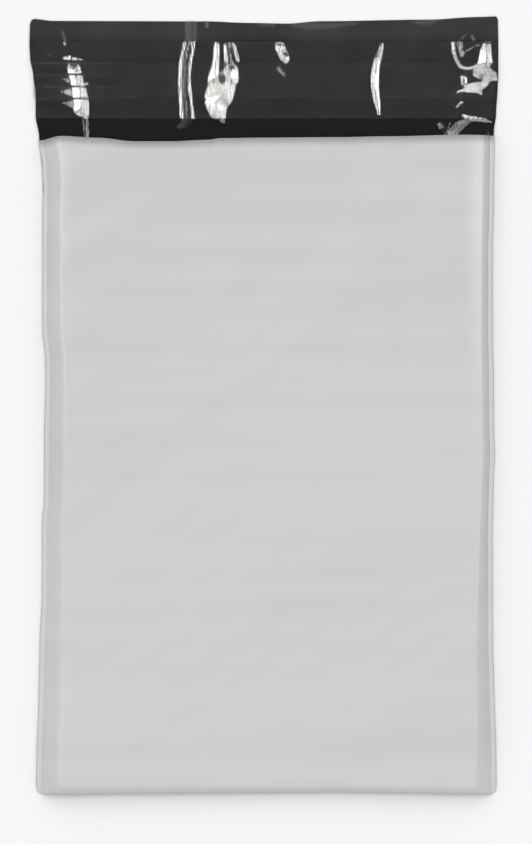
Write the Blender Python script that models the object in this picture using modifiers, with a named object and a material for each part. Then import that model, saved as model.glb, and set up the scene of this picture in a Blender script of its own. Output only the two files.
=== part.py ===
"""Poly mailer bag: one web of co-extruded film, folded at the bottom and welded along both sides.

The bag lies on its back panel, as an empty one rests on a table. +Z is up, +Y runs from the bottom
fold to the flap, and the origin is at the middle of its footprint, on the table. All sizes are metres.
"""

import bisect
import math

import bmesh
import bpy

# The film web
FILM_WIDTH = 0.1594
FILM_THICKNESS = 0.00008
POCKET_LENGTH = 0.2237
FLAP_LENGTH = 0.0398

# The side welds, where the two panels are fused
SEAM_WIDTH = 0.0013
SEAM_GAP = 0.00006
SEAM_LIFT = 0.0008
SEAM_BEAD = 0.00012
WELD_FOLD_SHARE = 0.8

# The pocket, held a little open by the springiness of the film
POCKET_RISE = 0.0056
SHOULDER_WIDTH = 0.0060
CORNER_RADIUS = 0.0022
LIP_LENGTH = 0.0030
LIP_DROP = 0.0013
PANEL_WAVE = 0.00022

# The flap and its buckles
BUCKLE_HEIGHT = 0.00090
BUCKLE_REACH = 0.0042
CORNER_CURL = 0.0018
CURL_REACH = 0.016
FLAP_EASE = 0.010

# The hot-melt adhesive, run on as parallel beads along the flap
BEAD_COUNT = 3
BEAD_PITCH = 0.0041
BEAD_HEIGHT = 0.00022
BEAD_VALLEY = 0.00009
ADHESIVE_FROM_MOUTH = 0.0126
ADHESIVE_END_MARGIN = 0.0015

# The release liner over the adhesive
LINER_THICKNESS = 0.00006
LINER_BELOW_ADHESIVE = 0.0068
LINER_ABOVE_ADHESIVE = 0.0071
LINER_END_MARGIN = 0.0003

# What lies on another piece stays this far off it
LAY_GAP = 0.00010

# How far the sides are drawn in where that is most, and how the two cut edges and the fold wander
LEFT_DRAW_IN = 0.0050
RIGHT_DRAW_IN = 0.0021
MOUTH_WANDER = 0.0014
FLAP_EDGE_WANDER = 0.0013
FOLD_WANDER = 0.0007

# Shares of those sizes: for the sides by share of the length from fold to flap edge,
# and for the edges and the fold by share of the width from left to right
LEFT_DRAW_IN_SHARES = (
    (0.00, 0.38), (0.07, 0.44), (0.19, 0.62), (0.35, 0.80), (0.53, 1.00),
    (0.62, 0.80), (0.78, 0.84), (0.86, 0.48), (0.95, 0.08), (1.00, 0.04),
)
RIGHT_DRAW_IN_SHARES = (
    (0.00, 0.48), (0.10, 0.62), (0.19, 0.95), (0.35, 0.95), (0.44, 0.67),
    (0.50, 0.86), (0.67, 1.00), (0.80, 0.76), (0.85, 0.80), (0.91, 0.14), (1.00, 0.05),
)
MOUTH_SHARES = (
    (0.00, -1.00), (0.055, 0.36), (0.12, 0.14), (0.27, -0.93), (0.40, 0.00),
    (0.60, 0.07), (0.80, 0.43), (0.96, 0.64), (1.00, -0.43),
)
FLAP_EDGE_SHARES = (
    (0.00, 0.31), (0.05, -0.31), (0.32, -0.38), (0.55, -1.00), (0.65, -0.31),
    (0.85, 0.08), (0.96, 0.77), (1.00, 0.92),
)
FOLD_SHARES = ((0.00, 0.00), (0.20, 0.29), (0.50, 1.00), (0.80, 0.43), (1.00, -0.43))
# How much of LIP_DROP the mouth edge dips by, across the width
LIP_DROP_SHARES = ((0.00, 0.3), (0.12, 0.8), (0.27, 1.0), (0.40, 0.4), (0.60, 0.15), (1.00, 0.2))
# Buckles that stand across the flap: share of the width, and shares of BUCKLE_HEIGHT and BUCKLE_REACH
BUCKLE_SHARES = (
    (0.119, 0.55, 0.62), (0.336, 0.50, 0.50), (0.407, 1.00, 1.00),
    (0.538, 0.35, 0.45), (0.735, 0.30, 0.42), (0.950, 0.60, 0.60),
)

# How finely the web is divided
MOUTH_ROWS = (0.0, 0.0011, 0.0024, 0.0042, 0.0080)
PANEL_ROWS = 10
FOLD_STEPS = 8
MIDDLE_STEP = 0.0150
LEAST_STEP = 0.0004

FOLD_Y = -(POCKET_LENGTH + FLAP_LENGTH) / 2
MOUTH_Y = FOLD_Y + POCKET_LENGTH
FLAP_EDGE_Y = MOUTH_Y + FLAP_LENGTH
ADHESIVE_WIDTH = BEAD_COUNT * BEAD_PITCH
LINER_START = ADHESIVE_FROM_MOUTH - LINER_BELOW_ADHESIVE
LINER_END = ADHESIVE_FROM_MOUTH + ADHESIVE_WIDTH + LINER_ABOVE_ADHESIVE


def clear_scene():
    """Removes every object that the startup scene holds."""
    for stray in list(bpy.data.objects):
        bpy.data.objects.remove(stray)


def smooth(share):
    """0 to 1 as share goes from 0 to 1, level at both ends."""
    share = min(1.0, max(0.0, share))
    return share * share * (3 - 2 * share)


def eased(points, at):
    """Reads a line of (place, value) points, which eases in and out of each."""
    places = [place for place, _ in points]
    step = min(max(bisect.bisect_right(places, at) - 1, 0), len(points) - 2)
    (start, before), (end, after) = points[step], points[step + 1]
    return before + (after - before) * smooth((at - start) / (end - start))


def side_x(across, y):
    """X at a share of the width between the web's two edges, at that y."""
    along = (y - FOLD_Y) / (FLAP_EDGE_Y - FOLD_Y)
    left = -FILM_WIDTH / 2 + LEFT_DRAW_IN * eased(LEFT_DRAW_IN_SHARES, along)
    right = FILM_WIDTH / 2 - RIGHT_DRAW_IN * eased(RIGHT_DRAW_IN_SHARES, along)
    return left + (right - left) * across


def mouth_y(across):
    """Y of the front panel's mouth edge."""
    return MOUTH_Y + MOUTH_WANDER * eased(MOUTH_SHARES, across)


def seam_distance(across):
    """Distance inside the nearer side weld."""
    return min(across, 1 - across) * FILM_WIDTH - SEAM_WIDTH


def shoulder(across):
    """0 on a side weld, rising to 1 where the panel levels out."""
    share = min(1.0, max(0.0, seam_distance(across) / SHOULDER_WIDTH))
    return math.sin(share * math.pi / 2)


def back_z(across):
    """Middle of the back panel's film over the table: flat, and lifted at the welds."""
    return FILM_THICKNESS / 2 + SEAM_LIFT * (1 - shoulder(across))


def front_z(across, from_mouth):
    """Middle of the front panel's film over the table."""
    welded = back_z(across) + FILM_THICKNESS + SEAM_GAP
    along = from_mouth / POCKET_LENGTH
    wave = PANEL_WAVE * (
        math.sin(2 * math.pi * (1.3 * across + 1.1 * along))
        + math.sin(2 * math.pi * (0.6 * across - 1.7 * along))
    )
    lip = LIP_DROP * eased(LIP_DROP_SHARES, across) * max(0.0, 1 - from_mouth / LIP_LENGTH) ** 2
    level = POCKET_RISE - FILM_THICKNESS / 2 + wave - lip
    return welded + (level - welded) * shoulder(across)


def flap_z(across, from_mouth):
    """Middle of the flap's film over the table, with its buckles and curled corners."""
    out = smooth(from_mouth / FLAP_EASE)
    lifted = SEAM_LIFT * (1 - shoulder(across)) * (1 - out)
    for place, height, reach in BUCKLE_SHARES:
        off = (across - place) * FILM_WIDTH / (reach * BUCKLE_REACH)
        lifted += out * height * BUCKLE_HEIGHT * math.exp(-off * off)
    from_side = min(across, 1 - across) * FILM_WIDTH
    from_edge = FLAP_LENGTH - from_mouth
    lifted += CORNER_CURL * smooth(1 - from_side / CURL_REACH) * smooth(1 - from_edge / FLAP_LENGTH)
    return FILM_THICKNESS / 2 + lifted


def corner_rise(across):
    """How far a bottom corner's rounding lifts the fold line, in the plane of the bag."""
    inward = min(1.0, min(across, 1 - across) * FILM_WIDTH / CORNER_RADIUS)
    return CORNER_RADIUS * (1 - math.sqrt(1 - (1 - inward) ** 2))


def column_shares():
    """Shares of the width at which the web is divided: close at the welds and the buckles."""
    near = [0.0, SEAM_WIDTH / 2, SEAM_WIDTH]
    near += [SEAM_WIDTH + SHOULDER_WIDTH * share for share in (0.12, 0.3, 0.52, 0.76, 1.0)]
    inner = near[-1]
    wanted = near + [FILM_WIDTH - place for place in near]
    for place, _, reach in BUCKLE_SHARES:
        wanted += [place * FILM_WIDTH + reach * BUCKLE_REACH * off for off in (-1.7, -0.8, 0.0, 0.8, 1.7)]
    steps = math.ceil((FILM_WIDTH - 2 * inner) / MIDDLE_STEP)
    free = [inner + (FILM_WIDTH - 2 * inner) * step / steps for step in range(1, steps)]
    kept = sorted(wanted)
    for place in free:
        if min(abs(place - other) for other in kept) > MIDDLE_STEP / 3:
            kept.append(place)
    kept.sort()
    apart = [kept[0]]
    for place in kept[1:]:
        if place - apart[-1] >= LEAST_STEP:
            apart.append(place)
    return [place / FILM_WIDTH for place in apart]


def flap_stations():
    """Distances from the mouth line at which the flap is divided, shared by all that lies on it."""
    beads = [ADHESIVE_FROM_MOUTH + BEAD_PITCH * step / 2 for step in range(2 * BEAD_COUNT + 1)]
    below = [LINER_START * share for share in (0.33, 0.67, 1.0)]
    skirt = [LINER_START + LINER_BELOW_ADHESIVE * share for share in (0.4, 0.75)]
    above = [beads[-1] + LINER_ABOVE_ADHESIVE * share for share in (0.4, 1.0)]
    rest = [LINER_END + (FLAP_LENGTH - LINER_END) * share for share in (0.5, 1.0)]
    return below + skirt + beads + above + rest


def bead_height(from_mouth):
    """Height of the adhesive over the flap at a station: full on a bead, low in the valleys."""
    share = (from_mouth - ADHESIVE_FROM_MOUTH) / BEAD_PITCH
    return BEAD_VALLEY + (BEAD_HEIGHT - BEAD_VALLEY) * abs(math.sin(share * math.pi))


def on_flap(across, from_mouth, lift):
    """A point that lies lift above the middle of the flap's film.

    The two cut edges wander, and the web between them, where the adhesive is run on, stays straight.
    """
    near_mouth = 1 - smooth(from_mouth / LINER_START)
    near_edge = smooth((from_mouth - LINER_END) / (FLAP_LENGTH - LINER_END))
    y = MOUTH_Y + from_mouth + (mouth_y(across) - MOUTH_Y) * near_mouth
    y += FLAP_EDGE_WANDER * eased(FLAP_EDGE_SHARES, across) * near_edge
    return side_x(across, y), y, flap_z(across, from_mouth) + lift


def fold_radius(across):
    """Radius of the bottom fold, to the middle of the film."""
    return (front_z(across, POCKET_LENGTH) - back_z(across)) / 2


def fold_centre_y(across):
    """Y of the bottom fold's axis."""
    outermost = FOLD_Y + FOLD_WANDER * eased(FOLD_SHARES, across) + corner_rise(across)
    return outermost + FILM_THICKNESS / 2 + fold_radius(across)


def panel_depths():
    """Shares of the way from the mouth edge to the fold's axis at which the panels are divided."""
    depths = [row / POCKET_LENGTH for row in MOUTH_ROWS]
    below = 1 - depths[-1]
    return depths + [1 - below * (1 - step / PANEL_ROWS) for step in range(1, PANEL_ROWS + 1)]


def panel_column(across, z_of):
    """One column of a panel, from the mouth edge to the fold's axis."""
    column = []
    for depth in panel_depths():
        y = mouth_y(across) + (fold_centre_y(across) - mouth_y(across)) * depth
        column.append((side_x(across, y), y, z_of(across, depth * POCKET_LENGTH)))
    return column


def web_column(across):
    """One column of the web, from the front panel's mouth edge round the fold to the flap's edge."""
    front = panel_column(across, front_z)
    back = panel_column(across, lambda share, _: back_z(share))
    x, axis_y, _ = front[-1]
    radius = fold_radius(across)
    axis_z = back_z(across) + radius
    fold = []
    for step in range(1, FOLD_STEPS):
        turn = math.pi * step / FOLD_STEPS
        fold.append((x, axis_y - radius * math.sin(turn), axis_z + radius * math.cos(turn)))
    flap = [on_flap(across, station, 0.0) for station in flap_stations()]
    return front + fold + back[::-1] + flap


def grid_object(name, columns, collection):
    """A triangulated sheet through columns of points, all the same length."""
    bpy.ops.mesh.primitive_grid_add(
        x_subdivisions=len(columns) - 1, y_subdivisions=len(columns[0]) - 1, size=1.0
    )
    sheet = bpy.context.object
    sheet.name = sheet.data.name = name
    for other in list(sheet.users_collection):
        other.objects.unlink(sheet)
    collection.objects.link(sheet)
    web = bmesh.new()
    web.from_mesh(sheet.data)
    web.verts.ensure_lookup_table()
    for row in range(len(columns[0])):
        for place, column in enumerate(columns):
            web.verts[row * len(columns) + place].co = column[row]
    bmesh.ops.triangulate(web, faces=web.faces, quad_method="FIXED")
    web.to_mesh(sheet.data)
    web.free()
    sheet.data.shade_smooth()
    return sheet


def solidify(sheet, thickness, offset, group=""):
    """Gives a sheet its thickness: offset 0 is about its middle, and 1 on its outer side."""
    wall = sheet.modifiers.new("wall", "SOLIDIFY")
    wall.thickness = thickness
    wall.offset = offset
    wall.use_even_offset = True
    wall.vertex_group = group
    return wall


def material(name, colour, roughness, alpha=1.0):
    """A plain Principled material."""
    made = bpy.data.materials.new(name)
    made.use_nodes = True
    shader = made.node_tree.nodes["Principled BSDF"]
    shader.inputs["Base Color"].default_value = (*colour, 1.0)
    shader.inputs["Roughness"].default_value = roughness
    shader.inputs["Metallic"].default_value = 0.0
    shader.inputs["Alpha"].default_value = alpha
    return made


def blend(first, second, share):
    """The point a share of the way from the first point to the second."""
    return tuple(a + (b - a) * share for a, b in zip(first, second))


def weld_column(across):
    """One column of the fused strip, halfway between the two panels and divided between their rows."""
    middle = (FILM_THICKNESS + SEAM_GAP) / 2
    rows = panel_column(across, lambda share, _: back_z(share) + middle)
    x, y, z = rows[0]
    mouth_end = (x, y - SEAM_BEAD, z)
    x, y, z = rows[-1]
    fold_end = (x, y - fold_radius(across) * WELD_FOLD_SHARE, z)
    between = [blend(first, second, 0.5) for first, second in zip(rows, rows[1:])]
    return [mouth_end, *between, fold_end]


def side_weld(name, edge, inward, collection):
    """The fused strip between the two panels along one side, with its bead at the cut edge."""
    outer, middle, inner = (weld_column(edge + inward * SEAM_WIDTH / FILM_WIDTH * at) for at in (0, 0.5, 1))
    bead = [(x - inward * SEAM_BEAD, y, z) for x, y, z in outer]
    short = 1 - 2 * SEAM_BEAD / SEAM_WIDTH
    columns = [bead, middle, [blend(mid, end, short) for mid, end in zip(middle, inner)]]
    weld = grid_object(name, columns[::inward], collection)
    solidify(weld, FILM_THICKNESS + SEAM_GAP, 0.0)
    weld.hide_render = True
    weld.display_type = "WIRE"
    return weld


def film_bag(parts, helpers):
    """The whole web: front panel, bottom fold, back panel and flap, with both sides welded."""
    bag = grid_object("film_bag", [web_column(share) for share in column_shares()], parts)
    bag.data.materials.append(material("pale_outer_film", (0.61, 0.61, 0.61), 0.42))
    bag.data.materials.append(material("black_inner_film", (0.012, 0.012, 0.012), 0.16))
    wall = solidify(bag, FILM_THICKNESS, 0.0)
    wall.material_offset = 1
    wall.material_offset_rim = 1
    for name, edge, inward in (("left_weld", 0, 1), ("right_weld", 1, -1)):
        join = bag.modifiers.new(name, "BOOLEAN")
        join.operation = "UNION"
        join.solver = "EXACT"
        join.object = side_weld(name, edge, inward, helpers)
    return bag


def laid_columns(end_margin, first, last, lift_of):
    """Columns of a strip that lies on the flap between two stations, short of its ends by a margin."""
    inset = end_margin / FILM_WIDTH
    shares = [share for share in column_shares() if inset < share < 1 - inset]
    shares = [inset, *shares, 1 - inset]
    slack = BEAD_PITCH / 100
    stations = [at for at in flap_stations() if first - slack <= at <= last + slack]
    return [[on_flap(share, at, lift_of(at)) for at in stations] for share in shares], stations


def adhesive_strip(parts):
    """Hot-melt adhesive, run on as parallel beads that touch."""
    lift = FILM_THICKNESS / 2 + LAY_GAP
    first, last = ADHESIVE_FROM_MOUTH, ADHESIVE_FROM_MOUTH + ADHESIVE_WIDTH
    columns, stations = laid_columns(ADHESIVE_END_MARGIN, first, last, lambda at: lift)
    strip = grid_object("adhesive_strip", columns, parts)
    strip.data.materials.append(material("hot_melt_adhesive", (0.55, 0.50, 0.38), 0.25))
    group = strip.vertex_groups.new(name="bead_height")
    for row, station in enumerate(stations):
        share = bead_height(station) / BEAD_HEIGHT
        for place in range(len(columns)):
            group.add([row * len(columns) + place], share, "REPLACE")
    solidify(strip, BEAD_HEIGHT, 1.0, group.name)
    return strip


def release_liner(parts):
    """Clear siliconised film laid over the adhesive, resting on the flap along both its margins."""
    low = FILM_THICKNESS / 2 + LAY_GAP + LINER_THICKNESS / 2
    first, last = ADHESIVE_FROM_MOUTH, ADHESIVE_FROM_MOUTH + ADHESIVE_WIDTH
    slack = BEAD_PITCH / 100

    def lift_of(station):
        covered = first - slack <= station <= last + slack
        return low + (bead_height(station) + LAY_GAP if covered else 0.0)

    columns, _ = laid_columns(LINER_END_MARGIN, LINER_START, LINER_END, lift_of)
    liner = grid_object("release_liner", columns, parts)
    liner.data.materials.append(material("clear_liner_film", (0.85, 0.86, 0.87), 0.08, 0.25))
    solidify(liner, LINER_THICKNESS, 0.0)
    return liner


clear_scene()
bag_parts = bpy.data.collections.new("poly_mailer_bag")
weld_helpers = bpy.data.collections.new("weld_helpers")
bpy.context.scene.collection.children.link(bag_parts)
bpy.context.scene.collection.children.link(weld_helpers)
film_bag(bag_parts, weld_helpers)
adhesive_strip(bag_parts)
release_liner(bag_parts)
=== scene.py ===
import math

import bmesh
import bpy
import numpy as np
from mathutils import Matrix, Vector


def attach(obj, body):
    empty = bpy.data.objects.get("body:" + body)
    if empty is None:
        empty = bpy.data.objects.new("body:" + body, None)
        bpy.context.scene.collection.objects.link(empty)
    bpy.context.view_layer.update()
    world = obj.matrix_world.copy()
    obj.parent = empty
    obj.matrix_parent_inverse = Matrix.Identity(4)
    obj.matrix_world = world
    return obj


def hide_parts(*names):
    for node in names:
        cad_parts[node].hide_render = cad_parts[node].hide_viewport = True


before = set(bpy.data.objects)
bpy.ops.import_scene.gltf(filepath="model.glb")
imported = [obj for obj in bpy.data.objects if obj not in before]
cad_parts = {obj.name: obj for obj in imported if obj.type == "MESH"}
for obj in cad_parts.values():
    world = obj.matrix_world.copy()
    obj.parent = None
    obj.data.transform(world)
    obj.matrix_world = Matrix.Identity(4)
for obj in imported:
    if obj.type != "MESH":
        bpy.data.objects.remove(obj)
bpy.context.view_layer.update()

# The film web: front panel, bottom fold, back panel and flap in one piece.
# It is blown polyethylene, co-extruded pale grey on the outside and black on the inside.
# The web is folded once, at the bottom, and the flap is the back panel running on past the mouth.
MM = 0.001
FILM_THICKNESS = 0.08 * MM
FILM_WIDTH = 159.4 * MM
POCKET_LENGTH = 223.7 * MM
FLAP_LENGTH = 39.8 * MM
SEAM_WIDTH = 1.3 * MM
SEAM_GAP = 0.06 * MM
SEAM_LIFT = 0.35 * MM
POCKET_RISE = 5.6 * MM
CORNER_RADIUS = 2.2 * MM
LIP_LENGTH = 3.0 * MM
LIP_DROP = 1.3 * MM
LIP_SHADE_LENGTH = 3.6 * MM
LINER_LOW = 5.8 * MM
LINER_HIGH = 32.0 * MM
FOLD_Y = -(POCKET_LENGTH + FLAP_LENGTH) / 2
MOUTH_Y = FOLD_Y + POCKET_LENGTH
FLAP_EDGE_Y = MOUTH_Y + FLAP_LENGTH
WEB_COLUMNS = 234
FRONT_ROWS = 74
BACK_ROWS = 22
FOLD_ROWS = 10
FLAP_ROWS = 78

# Outlines, in mm: how far each side is drawn in along the length, and how the edges wander across
LEFT_DRAW_IN = [(0, 2.6), (0.045, 2.7), (0.13, 3.45), (0.19, 3.75), (0.26, 4.55), (0.345, 4.55),
                (0.38, 5.25), (0.47, 5.35), (0.53, 5.7), (0.565, 5.6), (0.595, 4.65), (0.75, 4.65),
                (0.78, 4.9), (0.81, 4.5), (0.846, 3.3), (0.875, 2.1), (0.905, 2.05), (0.925, 1.3),
                (0.95, 0.2), (0.965, 0.0), (1, 0.2)]
RIGHT_DRAW_IN = [(0, 1.0), (0.07, 1.15), (0.10, 1.5), (0.145, 1.85), (0.19, 2.2), (0.33, 2.3),
                 (0.40, 2.0), (0.44, 1.55), (0.47, 1.85), (0.53, 1.95), (0.60, 2.25), (0.69, 2.3),
                 (0.76, 1.9), (0.852, 1.6), (0.878, 0.8), (0.91, 0.3), (0.925, 0.05), (0.97, 0.05),
                 (1, 0.2)]
MOUTH_WANDER = [(0, -1.7), (0.05, -0.4), (0.13, -1.0), (0.21, -2.2), (0.29, -2.2), (0.37, -1.7),
                (0.40, -1.15), (0.50, -0.95), (0.66, -0.8), (0.77, -0.5), (0.93, 0.0), (1, -0.1)]
FLAP_EDGE_WANDER = [(0, -0.1), (0.05, -0.85), (0.38, -1.0), (0.46, -1.5), (0.55, -1.75),
                    (0.62, -0.95), (0.85, -0.4), (0.96, 0.5), (1, 0.7)]
FOLD_WANDER = [(0, -0.2), (0.05, -0.2), (0.20, 0.1), (0.33, 0.2), (0.50, 0.4), (0.65, 0.6),
               (0.80, 0.35), (0.92, 0.0), (1, -0.3)]
# From the mouth to the fold: how far each shoulder's bank reaches in, in mm, and how much of the
# rise is a soft crown rather than the bank
LEFT_BANK = [(0, 5.3), (0.5, 5.6), (1, 6.8)]
RIGHT_BANK = [(0, 2.4), (0.50, 2.8), (0.85, 4.6), (1, 6.4)]
CROWN_REACH = 9.5 * MM
CROWN_SHARE = [(0, 0.23), (0.35, 0.14), (0.60, 0.04), (1, 0.03)]
# How much straighter the banks become, and by which share of the way to the fold
STRAIGHT_SHARE = 0.3
STRAIGHT_BY = 0.6
# The slack waves of the front panel: height in mm, turns across it and turns along it
PANEL_WAVES = ((0.22, 1.3, 1.1), (0.22, 0.6, -1.7), (0.05, 2.3, 3.1), (0.02, 0.4, -9.0))
# How much of LIP_DROP the mouth edge dips by, across the width
LIP_DIP = [(0, 0.3), (0.12, 0.8), (0.27, 1.0), (0.40, 0.4), (0.60, 0.15), (1, 0.2)]

# The folds and gathers that buckle the flap: the slope that their fine pleats reach, the slope of
# their own flanks, the reach in mm over which the pleats fade in, and strokes of (x, y, half width)
# points in mm along their crests
PUCKERS = {
    "pucker": (0.19, 0.18, 0.3, {
        "wedge": [(-64.5, 114.3, 2.31), (-64.1, 112.5, 2.31), (-63.2, 108.7, 2.38),
                  (-62.4, 104.6, 2.69), (-62.1, 101.2, 2.72), (-60.8, 99.3, 1.50)],
        "wedge_shard": [(-66.3, 115.4, 0.61), (-66.1, 113.9, 0.54), (-64.9, 113.6, 0.68)],
        "wedge_teeth": [(-67.8, 118.3, 0.68), (-66.2, 118.4, 0.75)],
        "wedge_tooth": [(-64.7, 118.1, 0.58), (-63.8, 118.0, 0.54)],
        "wedge_tooth_right": [(-62.6, 118.0, 0.44), (-62.1, 117.6, 0.41)],
        "wedge_speck": [(-60.5, 110.0, 0.48), (-60.3, 109.3, 0.44)],
        "wedge_tail": [(-60.1, 97.6, 0.51), (-59.9, 91.5, 0.51)],
        "crease_left": [(-27.0, 123.4, 0.58), (-28.3, 117.3, 0.65), (-28.5, 109.1, 0.68),
                        (-27.9, 97.9, 0.68)],
        "crease_right": [(-23.7, 123.4, 0.58), (-24.9, 117.3, 0.61), (-25.6, 112.2, 0.61),
                         (-25.3, 107.4, 0.65), (-24.1, 97.9, 0.65)],
        "edge_spot": [(-19.4, 130.1, 0.68), (-19.4, 129.0, 0.58)],
        "fold_prong_left": [(-16.0, 122.9, 0.99), (-16.3, 117.6, 1.12), (-16.7, 114.2, 1.50),
                            (-16.8, 111.2, 2.55)],
        "fold_prong_middle": [(-13.1, 122.9, 0.54), (-12.8, 117.0, 0.65)],
        "fold_prong_right": [(-10.4, 122.9, 0.58), (-8.9, 117.6, 0.75)],
        "broad_fold": [(-11.2, 113.9, 2.52), (-11.6, 111.5, 3.20), (-14.1, 109.1, 4.56),
                       (-15.2, 105.7, 4.90), (-16.1, 103.0, 3.94), (-15.8, 100.6, 3.13),
                       (-14.3, 98.3, 1.46), (-14.0, 96.6, 0.65)],
        "short_facet": [(5.4, 122.1, 1.70), (7.1, 118.2, 1.70)],
        "arc": [(40.3, 123.1, 0.41), (39.6, 120.9, 0.88), (38.4, 117.0, 1.26), (37.7, 112.2, 1.43),
                (37.7, 108.1, 1.36), (38.4, 103.4, 1.16), (39.2, 99.1, 0.48)],
        "gusset_hook": [(64.1, 123.4, 0.75), (64.4, 120.9, 0.65), (65.3, 117.8, 0.61),
                        (66.8, 115.5, 0.58), (69.0, 114.6, 0.54), (71.5, 115.1, 0.65),
                        (72.8, 116.1, 0.92)],
        "gusset_band": [(75.7, 122.3, 1.70), (75.4, 120.6, 2.01), (75.1, 117.0, 2.48)],
        "gusset_mass": [(73.4, 113.4, 2.31), (75.5, 112.9, 2.55), (77.2, 112.2, 1.84)],
        "gusset_spike": [(76.8, 111.3, 0.88), (80.1, 111.3, 0.82)],
        "gusset_blob": [(67.9, 111.5, 1.16), (68.1, 109.8, 1.16)],
        "gusset_bridge": [(68.7, 108.5, 0.95), (73.4, 108.8, 1.56), (75.5, 109.7, 1.02)],
        "gusset_brow": [(66.0, 106.8, 0.31), (67.7, 107.2, 0.54), (70.9, 107.1, 0.61),
                        (73.3, 106.8, 0.65)],
        "gusset_spot": [(73.6, 106.4, 0.58), (73.7, 106.3, 0.54)],
        "gusset_hair": [(65.5, 101.5, 0.31), (66.8, 103.0, 0.44), (67.9, 103.5, 0.31)],
        "gusset_fleck": [(70.6, 125.8, 0.48), (71.3, 124.6, 0.48)],
        "kite": [(67.6, 99.2, 0.44), (69.0, 97.9, 0.99), (72.4, 97.5, 0.92), (75.8, 97.0, 0.61),
                 (77.2, 96.5, 0.34)],
        "kite_lobe": [(69.0, 96.9, 1.16), (66.3, 95.2, 1.77), (64.1, 92.7, 1.77)],
        "low_spot": [(59.8, 95.6, 0.88), (60.0, 95.0, 0.95)],
    }),
    "soft_pucker": (0.135, 0.12, 0.6, {
        "wedge_streak": [(-69.2, 129.9, 0.41), (-67.7, 124.8, 0.61)],
        "wedge_spot": [(-67.5, 124.1, 0.82), (-67.5, 123.1, 0.82)],
        "wedge_haze_high": [(-68.0, 110.8, 0.48), (-65.3, 110.8, 1.56)],
        "wedge_haze_middle": [(-68.0, 106.8, 0.61), (-65.3, 106.8, 1.77)],
        "wedge_haze_low": [(-67.3, 103.0, 0.54), (-64.3, 102.7, 1.84)],
        "wedge_tail_side": [(-61.1, 97.6, 0.95), (-60.5, 91.5, 0.75)],
        "crease_hollow": [(-25.3, 123.4, 1.36), (-26.6, 117.3, 1.56), (-26.9, 109.1, 1.63),
                          (-26.0, 97.9, 1.84)],
        "crease_head": [(-24.8, 130.6, 2.18), (-24.8, 123.8, 1.97)],
        "crease_tail": [(-26.0, 97.4, 1.70), (-27.4, 95.5, 1.36), (-30.3, 94.2, 0.51)],
        "fold_hollow": [(-11.7, 122.4, 1.50), (-11.1, 117.6, 2.04)],
        "gusset_hollow": [(68.7, 120.7, 0.48), (70.7, 121.9, 0.44), (73.4, 122.6, 0.44)],
        "gusset_veil": [(65.6, 123.4, 0.82), (66.3, 120.7, 0.75), (67.5, 119.2, 0.54)],
        "gusset_fuzz": [(67.0, 124.8, 0.54), (68.5, 126.3, 0.54)],
        "kite_brim": [(63.1, 96.1, 0.54), (62.2, 94.0, 0.82), (61.5, 92.5, 0.82)],
    }),
    "faint_pucker": (0.109, 0.02, 1.6, {
        "wedge_patch": [(-74.5, 122.4, 1.09), (-72.8, 118.7, 1.50)],
        "wedge_mist_middle": [(-76.2, 107.1, 0.95), (-70.7, 106.9, 1.50), (-65.3, 106.8, 2.18)],
        "wedge_mist_high": [(-74.1, 111.2, 0.54), (-69.4, 111.0, 1.29), (-65.3, 110.8, 2.04)],
        "wedge_mist_low": [(-74.8, 103.0, 0.54), (-69.4, 103.0, 1.29), (-64.6, 102.7, 2.04)],
        "short_facet_foot": [(4.8, 114.6, 1.84), (6.6, 112.5, 1.84)],
        "edge_ripple_left": [(-2.7, 129.9, 1.36), (3.4, 129.4, 1.50)],
        "edge_ripple_middle": [(9.5, 129.9, 1.56), (15.0, 129.2, 2.24), (21.1, 129.2, 1.84),
                               (31.3, 130.1, 1.36)],
        "edge_ripple_right": [(50.3, 130.7, 1.36), (55.1, 130.4, 1.90), (59.2, 131.1, 1.36)],
        "gusset_mist": [(66.5, 122.7, 2.38), (67.2, 119.7, 2.18)],
        "top_mark": [(-8.0, 122.4, 1.02), (-7.8, 119.0, 0.95)],
        "low_mist": [(60.2, 95.2, 2.04), (61.9, 93.8, 2.04)],
    }),
}
PLEAT_PITCH = 0.5 * MM
# How far beyond a fold's foot its pleats still fray, and the depth that stands for outside, in mm
PLEAT_FRAY = 0.12
OUTSIDE = -2.0
# How much of its depth a fold keeps where it runs across the flap, where film can't stand as steep
CROSSWISE_SHARE = 0.2
# How far the flap's ends curl up, left and right, and over what width, the radii of its corners,
# and how far from the mouth it has come down from the welds
END_CURLS = ((0.2 * MM, 12 * MM), (0.12 * MM, 9 * MM))
RIM_RADII = (1.8 * MM, 1.0 * MM)
SETTLE_LENGTH = 4 * MM
# How close the web's columns stand: anywhere, how much closer within a reach of the welds and over
# the flap's folds, and those folds as (x, reach), all reaches in mm
PLAIN_DENSITY = 0.6
WELD_DENSITY = 2.2
WELD_REACH = 8
FOLD_DENSITY = 2.5
FOLD_PLACES = ((-64, 5), (-26.2, 4), (-14.5, 7.0), (6.0, 3.5), (38.6, 2.8), (67.5, 9.5))
# The power by which the front panel's rows crowd towards the mouth
ROW_CROWDING = 1.7


def eased(points, at):
    """Reads a line of (place, value) points, easing in and out of each."""
    places, values = (np.array(column, float) for column in zip(*points))
    step = np.clip(np.searchsorted(places, at, side="right") - 1, 0, len(places) - 2)
    share = np.clip((at - places[step]) / (places[step + 1] - places[step]), 0, 1)
    return values[step] + (values[step + 1] - values[step]) * share * share * (3 - 2 * share)


def smooth(share):
    """0 to 1 as the share goes from 0 to 1, level at both ends."""
    share = np.clip(share, 0, 1)
    return share * share * (3 - 2 * share)


def rounding(inside, radius):
    """How far a rounded corner cuts an edge back, at a distance inside the corner."""
    return radius * (1 - np.sqrt(1 - (1 - np.clip(inside / radius, 0, 1)) ** 2))


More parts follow.
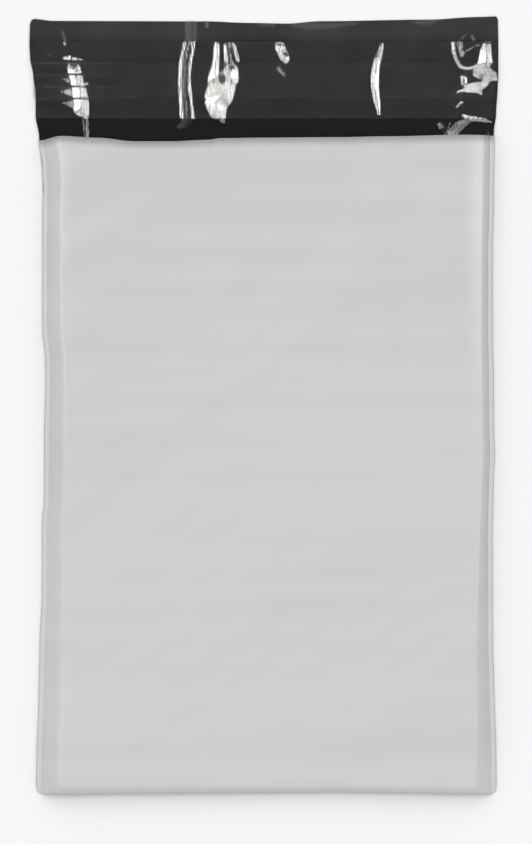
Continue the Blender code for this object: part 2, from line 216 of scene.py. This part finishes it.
def side_x(across, y):
    """X at a share of the width between the web's edges."""
    along = (y - FOLD_Y) / (FLAP_EDGE_Y - FOLD_Y)
    left = -FILM_WIDTH / 2 + MM * eased(LEFT_DRAW_IN, along)
    right = FILM_WIDTH / 2 - MM * eased(RIGHT_DRAW_IN, along)
    return left + (right - left) * across


def shoulder(across, along=0.0):
    """0 on a side weld, rising to 1 where the panel levels out, rounder by the mouth."""
    rises = []
    for side, reach in ((across, LEFT_BANK), (1 - across, RIGHT_BANK)):
        inside = side * FILM_WIDTH - SEAM_WIDTH
        straight = np.clip(inside / (MM * eased(reach, along)), 0, 1)
        bank = np.sin(straight * math.pi / 2)
        bank = bank + (straight - bank) * STRAIGHT_SHARE * smooth(along / STRAIGHT_BY)
        crown = 1 - (1 - np.clip(inside / CROWN_REACH, 0, 1)) ** 2
        rises.append(bank + (crown - bank) * eased(CROWN_SHARE, along))
    return np.minimum(*rises)


def mouth_y(across):
    """Y of the front panel's mouth edge."""
    return MOUTH_Y + MM * eased(MOUTH_WANDER, across)


def fold_line(across):
    """Y of the bottom fold's edge, rounded at both corners."""
    inside = np.minimum(across, 1 - across) * FILM_WIDTH
    return FOLD_Y + MM * eased(FOLD_WANDER, across) + rounding(inside, CORNER_RADIUS)


def back_z(across):
    """Middle of the back panel's film over the table: flat, and lifted at the welds."""
    return FILM_THICKNESS / 2 + SEAM_LIFT * (1 - shoulder(across))


def front_z(across, from_mouth):
    """Middle of the front panel's film, with the slack waves of a bag that lies half open."""
    welded = back_z(across) + FILM_THICKNESS + SEAM_GAP
    along = from_mouth / POCKET_LENGTH
    wave = sum(
        height * np.sin(2 * math.pi * (turns_across * across + turns_along * along))
        for height, turns_across, turns_along in PANEL_WAVES
    )
    dip = eased(LIP_DIP, across) * np.clip(1 - from_mouth / LIP_LENGTH, 0, 1) ** 2
    level = POCKET_RISE - FILM_THICKNESS / 2 + MM * wave - LIP_DROP * dip
    return welded + (level - welded) * shoulder(across, along)


def stroke_depth(stroke, x, y, crosswise=1.0):
    """Depth in mm inside a stroke, below 0 outside it.

    Where the stroke runs across the flap, only the crosswise share of its depth counts.
    """
    depth = np.full(np.broadcast(x, y).shape, OUTSIDE)
    for (x0, y0, half0), (x1, y1, half1) in zip(stroke, stroke[1:]):
        run = math.hypot(x1 - x0, y1 - y0)
        share = crosswise + (1 - crosswise) * abs(y1 - y0) / run
        along = np.clip(((x - x0) * (x1 - x0) + (y - y0) * (y1 - y0)) / run ** 2, 0, 1)
        off = np.hypot(x - x0 - along * (x1 - x0), y - y0 - along * (y1 - y0))
        depth = np.maximum(depth, share * (half0 + (half1 - half0) * along - off))
    return depth


def flap_relief(x, y):
    """Height of the flap's folds, which the film, the adhesive and the liner share."""
    tall = np.zeros(np.broadcast(x, y).shape)
    for _, flank, _, strokes in PUCKERS.values():
        for stroke in strokes.values():
            depth = stroke_depth(stroke, x / MM, y / MM, CROSSWISE_SHARE)
            tall = np.maximum(tall, flank * depth)
    return MM * tall


def mark_puckers(mesh, x, y):
    """Leaves on a mesh how deep each point lies in the folds, for its material's fine pleats."""
    for name, (_, _, _, strokes) in PUCKERS.items():
        depths = [stroke_depth(stroke, x / MM, y / MM) for stroke in strokes.values()]
        left = mesh.attributes.new(name, "FLOAT", "POINT")
        left.data.foreach_set("value", np.max(depths, axis=0).ravel())


def flap_point(across, from_mouth):
    """Points on the middle of the flap's film, whose rows wander only by its two edges."""
    near_mouth = 1 - smooth(from_mouth / LINER_LOW)
    near_edge = smooth((from_mouth - LINER_HIGH) / (FLAP_LENGTH - LINER_HIGH))
    y = MOUTH_Y + from_mouth + (mouth_y(across) - MOUTH_Y) * near_mouth
    sides = (across, 1 - across)
    rounded = sum(rounding(side * FILM_WIDTH, radius) for side, radius in zip(sides, RIM_RADII))
    y = y + (MM * eased(FLAP_EDGE_WANDER, across) - rounded) * near_edge
    x = side_x(across, y)
    settled = smooth(from_mouth / SETTLE_LENGTH)
    curl = sum(
        rise * smooth(1 - side * FILM_WIDTH / reach)
        for side, (rise, reach) in zip(sides, END_CURLS)
    )
    at_weld = SEAM_LIFT * (1 - shoulder(across))
    lifted = at_weld * (1 - settled) + settled * (curl + flap_relief(x, y))
    return x, y, FILM_THICKNESS / 2 + lifted


def close_columns(count):
    """Shares of the width at which the web is divided, closest at the welds and the folds."""
    fine = np.linspace(0, 1, 4001)
    inside = np.minimum(fine, 1 - fine) * FILM_WIDTH / MM
    place = (fine - 0.5) * FILM_WIDTH / MM
    density = PLAIN_DENSITY + WELD_DENSITY * (inside < WELD_REACH)
    for centre, reach in FOLD_PLACES:
        density += FOLD_DENSITY * (np.abs(place - centre) < reach)
    total = np.concatenate([[0], np.cumsum((density[1:] + density[:-1]) / 2)])
    return np.interp(np.linspace(0, total[-1], count), total, fine)


def grid_mesh(name, x, y, z):
    """A sheet through rows and columns of points, facing up where both run towards +X and +Y."""
    rows, columns = x.shape
    points = np.stack([x, y, z], axis=-1).reshape(-1, 3)
    corner = (np.arange(rows - 1)[:, None] * columns + np.arange(columns - 1)).reshape(-1)
    faces = np.stack([corner, corner + 1, corner + columns + 1, corner + columns], axis=-1)
    mesh = bpy.data.meshes.new(name)
    mesh.from_pydata(points.tolist(), [], faces.tolist())
    sheet = bpy.data.objects.new(name, mesh)
    bpy.context.scene.collection.objects.link(sheet)
    return sheet


def plain_mesh(piece, sharp_angle=math.radians(50)):
    """Applies a piece's modifiers and shades it smooth apart from its cut edges."""
    evaluated = piece.evaluated_get(bpy.context.evaluated_depsgraph_get())
    mesh = bpy.data.meshes.new_from_object(evaluated)
    piece.modifiers.clear()
    piece.data = mesh
    mesh.name = piece.name
    mesh.shade_smooth()
    mesh.set_sharp_from_angle(angle=sharp_angle)


across = close_columns(WEB_COLUMNS)
radius = (front_z(across, POCKET_LENGTH) - back_z(across)) / 2
fold_axis = fold_line(across) + FILM_THICKNESS / 2 + radius
depths = np.linspace(0, 1, FRONT_ROWS) ** ROW_CROWDING
front_y = mouth_y(across) + (fold_axis - mouth_y(across)) * depths[:, None]
front_rise = front_z(across, POCKET_LENGTH * depths[:, None])
turns = math.pi * np.arange(1, FOLD_ROWS)[:, None] / FOLD_ROWS
fold_y = fold_axis - radius * np.sin(turns)
fold_z = back_z(across) + radius * (1 + np.cos(turns))
back_depths = np.linspace(1, 0, BACK_ROWS)[:, None]
back_y = mouth_y(across) + (fold_axis - mouth_y(across)) * back_depths
back_rise = back_z(across) + 0 * back_depths
flap_x, flap_y, flap_rise = flap_point(across, FLAP_LENGTH * np.linspace(0, 1, FLAP_ROWS)[1:, None])
web_y = np.concatenate([front_y, fold_y, back_y, flap_y])
web_z = np.concatenate([front_rise, fold_z, back_rise, flap_rise])
web_x = np.concatenate([
    side_x(across, front_y), side_x(across, fold_axis) + 0 * fold_y, side_x(across, back_y), flap_x,
])
# The columns run from right to left, so that the web's face is its pale outside
film = grid_mesh("mailer_film", web_x[:, ::-1], web_y[:, ::-1], web_z[:, ::-1])
# Painted shade: a mask that darkens the pale film towards the mouth edge, over LIP_SHADE_LENGTH,
# where the lip curls down into shade
lip_shade_mask = np.zeros(web_x.shape)
lip_shade_mask[:FRONT_ROWS] = np.clip(1 - (mouth_y(across) - front_y) / LIP_SHADE_LENGTH, 0, 1)
cut_shade = film.data.attributes.new("lip_shade_mask", "FLOAT", "POINT")
cut_shade.data.foreach_set("value", lip_shade_mask[:, ::-1].ravel())
# Rows of the front panel and the fold are sent far from the flap, so that no pleat marks them
bared_y = np.concatenate([0 * front_y, 0 * fold_y, back_y, flap_y])
mark_puckers(film.data, web_x[:, ::-1], bared_y[:, ::-1])
wall = film.modifiers.new("wall", "SOLIDIFY")
wall.thickness = FILM_THICKNESS
wall.offset = 0
wall.use_even_offset = True
wall.material_offset = 1
wall.material_offset_rim = 1


def principled(name, colour, roughness, **inputs):
    """A Principled material, with its nodes, links and shader at hand."""
    made = bpy.data.materials.new(name)
    made.use_nodes = True
    nodes, links = made.node_tree.nodes, made.node_tree.links
    shader = nodes["Principled BSDF"]
    shader.inputs["Base Color"].default_value = (*colour, 1)
    shader.inputs["Roughness"].default_value = roughness
    for socket, value in inputs.items():
        shader.inputs[socket.replace("_", " ")].default_value = value
    return made, nodes, links, shader


def maths(nodes, links, operation, *values):
    """A Math node on sockets or plain numbers."""
    node = nodes.new("ShaderNodeMath")
    node.operation = operation
    for socket, value in zip(node.inputs, values):
        if isinstance(value, bpy.types.NodeSocket):
            links.new(value, socket)
        else:
            socket.default_value = value
    return node.outputs["Value"]


def ranged(nodes, links, value, low, high, start=0.3, stop=0.7, soft=False):
    """Brings a value to the range that a socket takes. A noise runs from about 0.3 to 0.7."""
    spread = nodes.new("ShaderNodeMapRange")
    spread.interpolation_type = "SMOOTHSTEP" if soft else "LINEAR"
    limits = {"From Min": start, "From Max": stop, "To Min": low, "To Max": high}
    for socket, number in limits.items():
        spread.inputs[socket].default_value = number
    links.new(value, spread.inputs["Value"])
    return spread.outputs["Result"]


def noise(nodes, links, scale, stretch, detail=3.0, turn=0.0):
    """A noise on Object coordinates, stretched along an axis and, by texture mapping, turned."""
    place = nodes.new("ShaderNodeTexCoord")
    mapping = nodes.new("ShaderNodeMapping")
    if turn:
        mapping.vector_type = "TEXTURE"
        mapping.inputs["Rotation"].default_value = (0, 0, turn)
    mapping.inputs["Scale"].default_value = stretch
    texture = nodes.new("ShaderNodeTexNoise")
    texture.inputs["Scale"].default_value = scale
    texture.inputs["Detail"].default_value = detail
    links.new(place.outputs["Object"], mapping.inputs["Vector"])
    links.new(mapping.outputs["Vector"], texture.inputs["Vector"])
    return texture.outputs["Fac"]


def axis_value(nodes, links, coordinate, source, axis):
    """One axis of a coordinate that a node gives."""
    split = nodes.new("ShaderNodeSeparateXYZ")
    links.new(nodes.new(source).outputs[coordinate], split.inputs["Vector"])
    return split.outputs[axis]


def bumped(nodes, links, height, distance, strength=1.0, under=None):
    """A bump over the normal of another."""
    bump = nodes.new("ShaderNodeBump")
    bump.inputs["Strength"].default_value = strength
    bump.inputs["Distance"].default_value = distance
    links.new(height, bump.inputs["Height"])
    if under:
        links.new(under, bump.inputs["Normal"])
    return bump.outputs["Normal"]


def duller_along(nodes, links, shader, marks, extra, start, stop):
    """Sets a roughness of fine marks, and brings it from one extra to another along Y."""
    y = axis_value(nodes, links, "Object", "ShaderNodeTexCoord", "Y")
    more = ranged(nodes, links, y, *extra, start=start, stop=stop)
    links.new(maths(nodes, links, "ADD", more, marks), shader.inputs["Roughness"])


def pleated(nodes, links, shader, under=None):
    """Adds the fine pleats in the folds that mark_puckers left on a mesh.

    They make the flanks of the folds up to the slope that catches the lamps.
    """
    x = axis_value(nodes, links, "Object", "ShaderNodeTexCoord", "X")
    saw = maths(nodes, links, "PINGPONG", x, PLEAT_PITCH / 2)
    ragged = ranged(nodes, links, noise(nodes, links, 900, (1, 1, 1)), -0.22, 0.18)
    steepest = 0.0
    for name, (slope, _, fade, _) in PUCKERS.items():
        depth = nodes.new("ShaderNodeAttribute")
        depth.attribute_name = name
        torn = maths(nodes, links, "ADD", depth.outputs["Fac"], ragged)
        slant = ranged(
            nodes, links, torn, 0.0, slope, start=-PLEAT_FRAY, stop=fade - PLEAT_FRAY, soft=True
        )
        steepest = maths(nodes, links, "MAXIMUM", slant, steepest)
    facing = axis_value(nodes, links, "Normal", "ShaderNodeNewGeometry", "X")
    flank = maths(nodes, links, "ABSOLUTE", facing)
    missing = maths(nodes, links, "MAXIMUM", maths(nodes, links, "SUBTRACT", steepest, flank), 0.0)
    height = maths(nodes, links, "MULTIPLY", missing, saw)
    links.new(bumped(nodes, links, height, 1.0, under=under), shader.inputs["Normal"])


# Pale outer layer: titanium-white masterbatch that leaves faint die lines along the web, darkened
# along the mouth edge by painted shade
PALE = 0.57
PALE_SPREAD = 0.03
outer_film, nodes, links, shader = principled("outer_film", (PALE, PALE, PALE), 0.42)
tone = nodes.new("ShaderNodeMix")
tone.data_type = "RGBA"
for socket, share in (("A", 1 - PALE_SPREAD), ("B", 1 + PALE_SPREAD)):
    tone.inputs[socket].default_value = (PALE * share, PALE * share, PALE * share, 1)
cloud = noise(nodes, links, 30, (0.22, 3.6, 1), 6.0)
links.new(ranged(nodes, links, cloud, 0, 1), tone.inputs["Factor"])
# Painted shade: the base colour falls to 0.55 of itself at the mouth edge, fading in over
# LIP_SHADE_LENGTH
edge = nodes.new("ShaderNodeAttribute")
edge.attribute_name = "lip_shade_mask"
edge_shade = ranged(nodes, links, edge.outputs["Fac"], 1.0, 0.55, start=0, stop=1, soft=True)
shaded = nodes.new("ShaderNodeVectorMath")
shaded.operation = "SCALE"
links.new(tone.outputs["Result"], shaded.inputs["Vector"])
links.new(edge_shade, shaded.inputs["Scale"])
links.new(shaded.outputs["Vector"], shader.inputs["Base Color"])
marks = ranged(nodes, links, noise(nodes, links, 60, (1, 1, 1)), 0.31, 0.37)
duller_along(
    nodes, links, shader, marks, (0.13, 0.0),
    MOUTH_Y - 0.65 * POCKET_LENGTH, MOUTH_Y - 0.15 * POCKET_LENGTH,
)
slack = noise(nodes, links, 62, (6, 1, 1), 1.0, math.radians(35))
slack_bump = bumped(nodes, links, slack, 1.3 * MM)
lines = noise(nodes, links, 300, (1, 0.06, 1))
links.new(bumped(nodes, links, lines, 0.05 * MM, 0.15, slack_bump), shader.inputs["Normal"])

# Black inner layer: carbon-black recycled film, glossier than the outside
BLACK = 0.006
inner_film, nodes, links, shader = principled("inner_film", (BLACK, BLACK, BLACK), 0.2)
marks = ranged(nodes, links, noise(nodes, links, 45, (1, 1, 1)), 0.11, 0.18)
duller_along(
    nodes, links, shader, marks, (0.0, 0.19),
    MOUTH_Y + LINER_HIGH - 4 * MM, MOUTH_Y + LINER_HIGH + 2 * MM,
)
lines = noise(nodes, links, 220, (1, 0.1, 1))
pleated(nodes, links, shader, bumped(nodes, links, lines, 0.05 * MM, 0.1))
film.data.materials.append(outer_film)
film.data.materials.append(inner_film)
plain_mesh(film)
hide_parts("film_bag")
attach(film, "root")

# The side welds: where a hot knife cuts both panels, it fuses them and leaves a fine bead.
# Each is a strip between the panels that stands a little out of the cut edge.
WELD_BEAD = 0.12 * MM
WELD_COLUMNS = np.array([0.0, 0.35, 0.7, 0.92])
weld_rows = np.linspace(0.0005, 1, 90)[:, None]
for name, edge, inward in (("weld_left", 0.0, 1), ("weld_right", 1.0, -1)):
    shares = edge + inward * SEAM_WIDTH / FILM_WIDTH * WELD_COLUMNS
    last = fold_line(shares) + FILM_THICKNESS
    y = mouth_y(shares) + (last - mouth_y(shares)) * weld_rows
    x = side_x(shares, y) - inward * WELD_BEAD * (WELD_COLUMNS == 0)
    z = back_z(shares) + (FILM_THICKNESS + SEAM_GAP) / 2 + 0 * y
    weld = grid_mesh(name, x[:, ::inward], y[:, ::inward], z[:, ::inward])
    thick = weld.modifiers.new("thick", "SOLIDIFY")
    thick.thickness = FILM_THICKNESS + SEAM_GAP
    thick.offset = 0
    weld.data.materials.append(outer_film)
    plain_mesh(weld)
    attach(weld, "root")

# The adhesive: rubbery hot melt, run warm onto the flap as parallel beads that touch.
# It stays clear, so only the valleys between the beads show.
BEAD_COUNT = 3
BEAD_PITCH = 4.1 * MM
BEAD_HEIGHT = 0.22 * MM
BEAD_POINTS = 260
BEAD_SIDES = 14
END_MARGIN = 1.5 * MM
ADHESIVE_Y = MOUTH_Y + 12.6 * MM
LAY_GAP = 0.1 * MM
bead_x = np.linspace(-0.5, 0.5, BEAD_POINTS) * (FILM_WIDTH - 2 * END_MARGIN)
bead_line = bmesh.new()
for bead in range(BEAD_COUNT):
    y = ADHESIVE_Y + BEAD_PITCH * (bead + 0.5) + 0 * bead_x
    z = FILM_THICKNESS + LAY_GAP + flap_relief(bead_x, y) + BEAD_HEIGHT / 2
    points = [bead_line.verts.new(point) for point in zip(bead_x, y, z)]
    for first, second in zip(points, points[1:]):
        bead_line.edges.new((first, second))
adhesive_mesh = bpy.data.meshes.new("adhesive_beads")
bead_line.to_mesh(adhesive_mesh)
bead_line.free()
adhesive = bpy.data.objects.new("adhesive_beads", adhesive_mesh)
bpy.context.scene.collection.objects.link(adhesive)

hot_melt, nodes, links, shader = principled(
    "hot_melt", (0.9, 0.88, 0.82), 0.12, Transmission_Weight=1.0, IOR=1.18
)
marks = ranged(nodes, links, noise(nodes, links, 90, (1, 1, 1)), 0.08, 0.18)
links.new(marks, shader.inputs["Roughness"])

bead_tree = bpy.data.node_groups.new("hot_melt_beads", "GeometryNodeTree")
for direction in ("INPUT", "OUTPUT"):
    bead_tree.interface.new_socket("Geometry", in_out=direction, socket_type="NodeSocketGeometry")
bead_inputs = {
    name: bead_tree.interface.new_socket(name, in_out="INPUT", socket_type=kind).identifier
    for name, kind in (
        ("Bead Width", "NodeSocketFloat"),
        ("Bead Height", "NodeSocketFloat"),
        ("Adhesive", "NodeSocketMaterial"),
    )
}
given = bead_tree.nodes.new("NodeGroupInput")
route = bead_tree.nodes.new("GeometryNodeMeshToCurve")
upright = bead_tree.nodes.new("GeometryNodeSetCurveNormal")
upright.mode = "Z_UP"
section = bead_tree.nodes.new("GeometryNodeCurvePrimitiveCircle")
section.inputs["Resolution"].default_value = BEAD_SIDES
section.inputs["Radius"].default_value = 0.5
size = bead_tree.nodes.new("ShaderNodeCombineXYZ")
flatten = bead_tree.nodes.new("GeometryNodeTransform")
swept = bead_tree.nodes.new("GeometryNodeCurveToMesh")
swept.inputs["Fill Caps"].default_value = True
smoothed = bead_tree.nodes.new("GeometryNodeSetShadeSmooth")
realized = bead_tree.nodes.new("GeometryNodeRealizeInstances")
dressed = bead_tree.nodes.new("GeometryNodeSetMaterial")
result = bead_tree.nodes.new("NodeGroupOutput")
for source, target in (
    (given.outputs["Geometry"], route.inputs["Mesh"]),
    (route.outputs["Curve"], upright.inputs["Curve"]),
    (given.outputs["Bead Height"], size.inputs["Y"]),
    (given.outputs["Bead Width"], size.inputs["X"]),
    (section.outputs["Curve"], flatten.inputs["Geometry"]),
    (size.outputs["Vector"], flatten.inputs["Scale"]),
    (upright.outputs["Curve"], swept.inputs["Curve"]),
    (flatten.outputs["Geometry"], swept.inputs["Profile Curve"]),
    (swept.outputs["Mesh"], smoothed.inputs["Geometry"]),
    (smoothed.outputs["Geometry"], realized.inputs["Geometry"]),
    (realized.outputs["Geometry"], dressed.inputs["Geometry"]),
    (given.outputs["Adhesive"], dressed.inputs["Material"]),
    (dressed.outputs["Geometry"], result.inputs["Geometry"]),
):
    bead_tree.links.new(source, target)
run_on = adhesive.modifiers.new("beads", "NODES")
run_on.node_group = bead_tree
run_on[bead_inputs["Bead Width"]] = BEAD_PITCH
run_on[bead_inputs["Bead Height"]] = BEAD_HEIGHT
run_on[bead_inputs["Adhesive"]] = hot_melt
plain_mesh(adhesive)
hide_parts("adhesive_strip")
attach(adhesive, "root")

# The release liner: clear siliconised film, laid over the adhesive across the whole flap.
# It follows the flap's folds and is pressed in between the beads, mostly at its left end.
LINER_THICKNESS = 0.06 * MM
LINER_COLUMNS = 400
LINER_ROWS = 62
LINER_MARGIN = 0.3 * MM
GROOVE_DEPTH = 0.13 * MM
GROOVE_HALF = 0.28 * MM
GROOVE_ROWS = MM * np.array([-0.45, -0.3, -0.15, 0, 0.15, 0.3, 0.45])
PRESSED_PLACE = -48 * MM
PRESSED_REACH = 8 * MM
LEAST_PRESSED = 0.08
SKIRT = 5.0 * MM
liner_edge = LINER_MARGIN / FILM_WIDTH
liner_across = np.clip(close_columns(LINER_COLUMNS), liner_edge, 1 - liner_edge)
groove_at = ADHESIVE_Y - MOUTH_Y + BEAD_PITCH * np.arange(BEAD_COUNT + 1)
liner_rows = [LINER_LOW + (LINER_HIGH - LINER_LOW) * np.linspace(0, 1, LINER_ROWS)]
liner_rows += [groove + GROOVE_ROWS for groove in groove_at]
liner_from = np.unique(np.concatenate(liner_rows))[:, None]
x, y, z = flap_point(liner_across, liner_from)
over = smooth((y - ADHESIVE_Y + SKIRT) / SKIRT)
over = over * smooth((ADHESIVE_Y + BEAD_COUNT * BEAD_PITCH + SKIRT - y) / SKIRT)
grooves = sum(np.exp(-(((liner_from - groove) / GROOVE_HALF) ** 2)) for groove in groove_at)
pressed = LEAST_PRESSED + (1 - LEAST_PRESSED) * smooth((PRESSED_PLACE - x) / PRESSED_REACH)
over = over * (BEAD_HEIGHT + LAY_GAP) - GROOVE_DEPTH * pressed * grooves
z = z + FILM_THICKNESS / 2 + LAY_GAP + LINER_THICKNESS / 2 + over
liner = grid_mesh("release_liner_film", x, y, z)
mark_puckers(liner.data, x, y)
skin = liner.modifiers.new("skin", "SOLIDIFY")
skin.thickness = LINER_THICKNESS
skin.offset = 0
liner_film, nodes, links, shader = principled(
    "liner_film", (0.98, 0.98, 0.98), 0.06, Transmission_Weight=1.0, IOR=1.6
)
marks = ranged(nodes, links, noise(nodes, links, 120, (1, 1, 1)), 0.04, 0.09)
links.new(marks, shader.inputs["Roughness"])
pleated(nodes, links, shader)
liner.data.materials.append(liner_film)
plain_mesh(liner, math.radians(8))
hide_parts("release_liner")
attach(liner, "root")

# The studio: a white table, darkened near the bag by a painted contact shadow, a pale room that is
# dimmer overhead, two long lamps beside the camera that the creases of the flap catch, and a long
# lens straight above the bag.
FLOOR_SIZE = 12.0
FLOOR_Z = -0.1 * MM
CONTACT_REACH = 60 * MM
LAMP_AWAY = 4.0
LAMP_ANGLE = math.radians(22)
LAMP_SIZE = (0.5, 3.0)
LAMP_RADIANCE = 13.2
ROOM_LEVELS = ((0.12, 0.55), (0.6, 0.42), (0.85, 0.3), (0.96, 0.19))
ROOM_TOP = 0.18
ROOM_LEAN_X = -0.12
ROOM_LEAN_Y = 0.45
SENSOR_WIDTH = 36
CAMERA_AWAY = 2.0
PIXEL = 0.34 * MM
PHOTO_SIZE = (532, 844)
OBJECT_PIXEL = (264, 406)

bpy.ops.mesh.primitive_plane_add(size=FLOOR_SIZE, location=(0, 0, FLOOR_Z))
floor = bpy.context.object
floor.name = "floor"
table, nodes, links, shader = principled("table_top", (0.9, 0.9, 0.9), 0.9, Specular_IOR_Level=0.0)
# Painted contact shadow: ambient occlusion darkens the table's colour near the bag, within
# CONTACT_REACH
contact_shadow_occlusion = nodes.new("ShaderNodeAmbientOcclusion")
contact_shadow_occlusion.samples = 8
contact_shadow_occlusion.inputs["Distance"].default_value = CONTACT_REACH
shade = ranged(nodes, links, contact_shadow_occlusion.outputs["AO"], 0.68, 0.92, start=0.7, stop=0.97)
links.new(shade, shader.inputs["Base Color"])
floor.data.materials.append(table)

room = bpy.data.worlds.new("room")
bpy.context.scene.world = room
room.use_nodes = True
nodes, links = room.node_tree.nodes, room.node_tree.links
direction = nodes.new("ShaderNodeTexCoord")
height = nodes.new("ShaderNodeSeparateXYZ")
fade = nodes.new("ShaderNodeValToRGB")
fade.color_ramp.elements[0].position = 0.0
fade.color_ramp.elements[0].color = (1, 1, 1, 1)
fade.color_ramp.elements[1].position = 1.0
fade.color_ramp.elements[1].color = (ROOM_TOP, ROOM_TOP, ROOM_TOP, 1)
for at, level in ROOM_LEVELS:
    stop = fade.color_ramp.elements.new(at)
    stop.color = (level, level, level, 1)
links.new(direction.outputs["Generated"], height.inputs["Vector"])
links.new(height.outputs["Z"], fade.inputs["Fac"])
lean = maths(nodes, links, "MULTIPLY_ADD", height.outputs["Y"], ROOM_LEAN_Y, 1.0)
lean = maths(nodes, links, "MULTIPLY_ADD", height.outputs["X"], ROOM_LEAN_X, lean)
links.new(lean, nodes["Background"].inputs["Strength"])
links.new(fade.outputs["Color"], nodes["Background"].inputs["Color"])

for name, turn in (("left_lamp", -LAMP_ANGLE), ("right_lamp", LAMP_ANGLE)):
    lamp = bpy.data.lights.new(name, "AREA")
    lamp.shape = "RECTANGLE"
    lamp.size, lamp.size_y = LAMP_SIZE
    lamp.energy = LAMP_RADIANCE * math.pi * LAMP_SIZE[0] * LAMP_SIZE[1]
    holder = bpy.data.objects.new(name, lamp)
    holder.rotation_euler = (0, turn, 0)
    holder.location = holder.rotation_euler.to_matrix() @ Vector((0, 0, LAMP_AWAY))
    bpy.context.scene.collection.objects.link(holder)

lens = bpy.data.cameras.new("camera")
lens.sensor_width = SENSOR_WIDTH
lens.lens = SENSOR_WIDTH * CAMERA_AWAY / (PHOTO_SIZE[1] * PIXEL)
lens.clip_end = 50
camera = bpy.data.objects.new("camera", lens)
camera.location = (
    (PHOTO_SIZE[0] / 2 - OBJECT_PIXEL[0]) * PIXEL,
    (OBJECT_PIXEL[1] - PHOTO_SIZE[1] / 2) * PIXEL,
    CAMERA_AWAY,
)
bpy.context.scene.collection.objects.link(camera)
bpy.context.scene.camera = camera
bpy.context.scene.view_settings.view_transform = "Standard"
